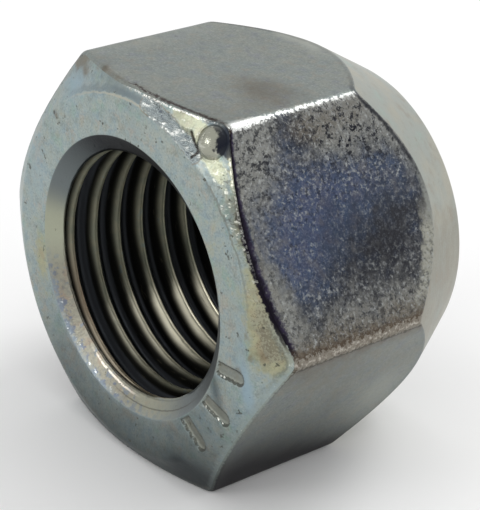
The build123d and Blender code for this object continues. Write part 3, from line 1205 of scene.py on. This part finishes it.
def drawnFlats():
    # The hexagon's flats, drawn smooth in the forming die, zinc plated and much handled: matte
    # grey-green where the plate is clean, a smooth blue-black film over much of it, broken by
    # specks of dull bare zinc.
    tree, material = newMaterial("zincOnDrawnFlats")
    clouds = grain(tree, 1.8, 3.0, seed=6)
    mottle = grain(tree, 0.5, 4.0, seed=7, rough=0.6)
    tint = grain(tree, 0.7, 4.0, seed=25, rough=0.6)
    speck = grain(tree, 0.17, 4.0, seed=8, rough=0.7)
    dots = grain(tree, 0.19, 4.0, seed=23, rough=0.7)
    dirt = grain(tree, 0.11, 5.0, seed=27, rough=0.75)
    cracks = grain(tree, 0.32, 5.0, seed=29, rough=0.75)
    fine = grain(tree, 0.08, 3.0, seed=9)
    crumbs = grain(tree, 0.16, 3.0, seed=10, rough=0.65)
    film = mask(tree, "film", clouds, 0.3, (0.1, 0.9))

    plate = lay(
        tree,
        "#838b88",
        [
            (mask(tree, None, clouds, 1.0, (-0.1, 0.15)), "#888d87"),
            (mask(tree, None, tint, 1.0, (0.0, 0.2), (0.5,)), "#7e828e"),
            (mask(tree, None, tint, 1.0, (0.0, -0.2), (0.5,)), "#928b80"),
            (mask(tree, None, mottle, 1.0, (0.02, 0.2), (0.4,)), "#9a9c95"),
            (mask(tree, None, mottle, 1.0, (-0.02, -0.2), (0.4,)), "#70757a"),
            (mask(tree, None, fine, 1.0, (0.0, 0.2), (0.45,)), "#a0a5a0"),
            (mask(tree, None, fine, 1.0, (0.0, -0.2), (0.35,)), "#6a716f"),
            (mask(tree, None, crumbs, 1.0, (0.0, -0.2), (0.4,)), "#6d7573"),
            (mask(tree, "pale", mottle, 0.4, (0.0, 1.0)), "#a2a59e"),
        ],
    )
    filmColour = lay(
        tree,
        "#38393d",
        [
            (mask(tree, "blue", tint, 1.2, (0.0, 1.0)), "#46546c"),
            (mask(tree, "blue", mottle, 1.4, (0.3, 1.2), (0.5,)), "#514f68"),
            (mask(tree, None, mottle, 1.0, (0.0, 0.2), (0.3,)), "#55585e"),
            (mask(tree, "bare", mottle, 1.3, (0.0, 1.0)), "#82837f"),
        ],
    )
    broken = mask(tree, "bare", tint, 0.8, (-0.2, 0.7))
    clumps = mask(tree, "specks", tint, 2.4, (0.1, 0.9))
    colour = lay(
        tree,
        plate,
        [
            (film, filmColour),
            (mask(tree, "stain", mottle, 0.8, (0.0, 1.0), (0.7,)), "#5f5546"),
            (mask(tree, "behind", mottle, 0.8, (-0.05, 0.03, 0.1, 0.3), ("strip", 0.75)), "#85847c"),
            (mask(tree, "toSeat", mottle, 1.2, (0.75, 0.5), ("seatStrip",)), "#a2a297"),
            (mask(tree, "toSeat", mottle, 0.4, (0.3, 0.12), ("seatThin", 0.85)), "#979a93"),
            (mask(tree, None, dirt, 1.0, (0.02, 0.2), (film, 0.45)), "#9297a0"),
            (mask(tree, None, dirt, 1.0, (-0.02, -0.2), (film, 0.5)), "#1a1b22"),
            (mask(tree, None, speck, 1.0, (0.0, 0.16), (clumps, 0.6)), "#a8aba9"),
            (mask(tree, None, dots, 1.0, (0.0, -0.16), (clumps, 0.7)), "#22242b"),
            (mask(tree, None, cracks, 1.0, (0.03, 0.08), ("specks", broken, 0.68)), "#202128"),
            (mask(tree, None, speck, 1.0, (0.15, 0.22), ("specks", 0.5)), "#c0c5c9"),
            # painted shade on the flats, darker towards the side the nut lies on
            (mask(tree, "shade", band=(0.0, 1.0)), "#1c1b1f"),
        ],
    )
    # painted shade in the groove behind the chamfer
    lineColour = lay(
        tree,
        "#1b1820",
        [
            (mask(tree, "across", mottle, 1.4, (0.3, 1.1), (0.8,)), "#403a50"),
            (mask(tree, "groove", band=(1.0, 0.8)), "#3c332f"),
        ],
    )
    ragged = mask(tree, "groove", speck, 2.0, (0.42, 0.7))
    line = mask(tree, "across", crumbs, 1.3, (-0.25, 0.05, 0.6, 1.2), (ragged,))
    # worn corners, and the painted highlight along corner B
    wearAndHighlight = mask(tree, "corner", crumbs, 0.8, (0.32, 0.46), ("cornerWearAndHighlight",))
    colour = lay(
        tree,
        colour,
        [
            (mask(tree, "toSeat", mottle, 0.5, (-0.04, 0.04, 0.14, 0.3), ("seatLine",)), "#24262d"),
            # painted highlight on the softly rounded edge
            (mask(tree, "along", crumbs, 0.3, (0.06, -0.04), ("softEdge", 0.6)), "#98a39c"),
            (mask(tree, "along", crumbs, 0.4, (0.0, 0.05, 0.07, 0.14), ("ridge", 0.75)), "#4b4a43"),
            (mask(tree, "corner", crumbs, 1.6, (0.3, 0.5), ("cornerWearAndHighlight", 0.4)), "#a3a49c"),
            (wearAndHighlight, "#dcdedb"),
            (mask(tree, "corner", mottle, 1.4, (0.0, 0.5), ("cornerGrime", 0.6)), "#665a4c"),
            (mask(tree, "corner", crumbs, 0.7, (0.28, 0.34, 0.4, 0.46), ("cornerGrime", 0.6)), "#43362b"),
            (mask(tree, "corner", crumbs, 1.2, (0.4, 0.52), ("cornerGrime", 0.5)), "#98948a"),
            (mask(tree, "corner", speck, 1.6, (0.6, 0.8), ("cornerGrime", 0.6)), "#c3beb4"),
            (mask(tree, "corner", dots, -1.6, (0.6, 0.8), ("cornerGrime", 0.5)), "#56493e"),
            (mask(tree, "corner", crumbs, 0.5, (0.26, 0.32, 0.36, 0.42), ("cornerLine", 0.8)), "#3d3c36"),
            (line, lineColour),
        ],
    )
    roughness = lay(tree, 0.46, [(film, 0.36), (wearAndHighlight, 0.22), (line, 0.5)])
    heights = [(fine, 0.006), (mask(tree, None, speck, 1.0, (-0.1, 0.2), ("specks",)), 0.012)]
    surface(tree, colour, roughness, heights)
    return material


def turnedSeat():
    # The 60 degree seat, turned and zinc plated: smooth pale grey with fine rings and tan clouds.
    tree, material = newMaterial("zincOnTurnedSeat")
    clouds = grain(tree, 1.4, 3.0, seed=12)
    mottle = grain(tree, 0.4, 3.0, seed=13)
    tint = grain(tree, 0.8, 4.0, seed=26, rough=0.6)
    fine = grain(tree, 0.08, 2.0, seed=14)
    rings = grain(tree, 0.35, 2.0, seed=15, stretch=(0.1, 6.0, 0.1))
    inCone = mask(tree, "mouth", band=(0.0, 0.2), share=(mask(tree, "radius", band=(6.34, 6.2)),))
    colour = lay(
        tree,
        "#9fa49d",
        [
            (mask(tree, None, clouds, 1.0, (-0.08, 0.16)), "#a7a699"),
            (mask(tree, None, clouds, 1.0, (-0.08, -0.22), (0.7,)), "#9aaba2"),
            (mask(tree, "seatTone", tint, 0.8, (0.0, 1.0)), "#868376"),
            (mask(tree, None, tint, 1.0, (0.05, 0.2), (0.5,)), "#948b7c"),
            (mask(tree, None, mottle, 1.0, (0.05, 0.22), (0.35,)), "#8f897b"),
            (mask(tree, None, fine, 1.0, (0.1, 0.22), (0.25,)), "#c4c6be"),
            (inCone, "#7c7f76"),
        ],
    )
    surface(tree, colour, 0.4, [(fine, 0.005), (rings, 0.012)])
    return material


def tappedThread():
    # The thread is cut after forming and only thinly plated. Its light and shade are painted: pale crests
    # brightening towards their back edge as painted light, flanks and roots nearly black as painted
    # shade.
    tree, material = newMaterial("tappedSteelThread")
    mottle = grain(tree, 0.5, 3.0, seed=16)
    fine = grain(tree, 0.08, 2.0, seed=17)
    drag = grain(tree, 0.6, 3.0, seed=18, stretch=(1, 9, 1))
    # painted highlight on the crests
    crestHighlight = mask(tree, "crestHighlight", drag, 1.0, (0.0, 0.9))
    # painted highlight on the first crest
    firstCrestHighlight = mask(tree, "mouth", mottle, 0.5, (2.4, 1.9), ("firstCrestHighlight",))
    bright = lay(
        tree,
        "#959786",
        [
            (mask(tree, None, mottle, 1.0, (-0.1, 0.15)), "#a19f8a"),
            (mask(tree, None, mottle, 1.0, (0.1, 0.25)), "#94a099"),
            (mask(tree, "mouth", band=(2.6, 1.8), share=("lip",)), "#c4b39c"),
            (crestHighlight, "#f3eed6"),
            (firstCrestHighlight, "#f2e4ca"),
        ],
    )
    crest = mask(tree, "crest", band=(0.0, 1.0))
    # painted shade: flanks near black, roots a little lighter; crests painted light
    colour = lay(
        tree,
        "#121210",
        [
            (mask(tree, "root", band=(0.0, 1.0)), "#3f4246"),
            (crest, bright),
            (mask(tree, None, drag, 1.0, (0.12, 0.22), (0.4,)), "#3a382e"),
        ],
    )
    roughness = lay(tree, 0.6, [(crest, 0.62), (crestHighlight, 0.45), (firstCrestHighlight, 0.4)])
    surface(tree, colour, roughness, [(fine, 0.004), (drag, 0.004)], edge="#505050")
    return material


for make in (struckFace, drawnFlats, turnedSeat, tappedThread):
    body.data.materials.append(make())
print("materials:", ", ".join(m.name for m in body.data.materials))

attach(body, "root")
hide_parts("nut_body")

# Floor, camera and lights
view = {  # angles in degrees, lengths in mm
    "azimuth": 49.51,
    "elevation": 26.49,
    "roll": 3.01,
    "distance": 88.81,
    "target": (0.246, -0.537, -0.423),
    "lens": 95.72941,
    "sensorHeight": 24.0,
}

floorMesh = bpy.data.meshes.new("floor")
halfSide = 2.0  # metres
square = [(x * halfSide, y * halfSide, cadLow[2] * mm) for x, y in ((-1, -1), (1, -1), (1, 1), (-1, 1))]
floorMesh.from_pydata(square, [], [(0, 1, 2, 3)])
floor = bpy.data.objects.new("floor", floorMesh)
bpy.context.collection.objects.link(floor)
tree, paper = newMaterial("floorPaper")
matt = addNode(tree, "ShaderNodeBsdfDiffuse", {"Color": linear("#f4f4f4")})
addNode(tree, "ShaderNodeOutputMaterial", {"Surface": matt.outputs[0]})
floorMesh.materials.append(paper)

world = bpy.data.worlds.new("studio")
world.use_nodes = True
bpy.context.scene.world = world
background = world.node_tree.nodes["Background"]
background.inputs["Color"].default_value = linear("#ffffff")
background.inputs["Strength"].default_value = 0.92

lamps = {  # place in mm, size in mm, power in watts
    "topLamp": ((10, 120, 170), (90, 70), 0.1),
    "frontLamp": ((-60, -220, 80), (80, 60), 0.08),
}
for name, (place, size, power) in lamps.items():
    lamp = bpy.data.lights.new(name, "AREA")
    lamp.shape = "RECTANGLE"
    lamp.size, lamp.size_y = size[0] * mm, size[1] * mm
    lamp.energy = power
    holder = bpy.data.objects.new(name, lamp)
    holder.location = Vector(place) * mm
    holder.rotation_euler = (-Vector(place)).to_track_quat("-Z", "Y").to_euler()
    bpy.context.collection.objects.link(holder)

azimuth, elevation, roll = (math.radians(view[k]) for k in ("azimuth", "elevation", "roll"))
outwards = (
    math.sin(azimuth) * math.cos(elevation),
    -math.cos(azimuth) * math.cos(elevation),
    math.sin(elevation),
)
level = np.array([math.cos(azimuth), math.sin(azimuth), 0])
upward = np.cross(outwards, level)
right = level * math.cos(roll) + upward * math.sin(roll)
upright = upward * math.cos(roll) - level * math.sin(roll)
eye = np.array(view["target"]) + np.array(outwards) * view["distance"]

cameraData = bpy.data.cameras.new("camera")
cameraData.sensor_fit = "VERTICAL"
cameraData.sensor_height = view["sensorHeight"]
cameraData.lens = view["lens"]
cameraData.clip_start = 0.005
camera = bpy.data.objects.new("camera", cameraData)
bpy.context.collection.objects.link(camera)
turn = Matrix((right, upright, outwards)).transposed().to_4x4()
camera.matrix_world = Matrix.Translation(eye * mm) @ turn
bpy.context.scene.camera = camera
bpy.context.scene.view_settings.view_transform = "Standard"
print("camera and lights set")
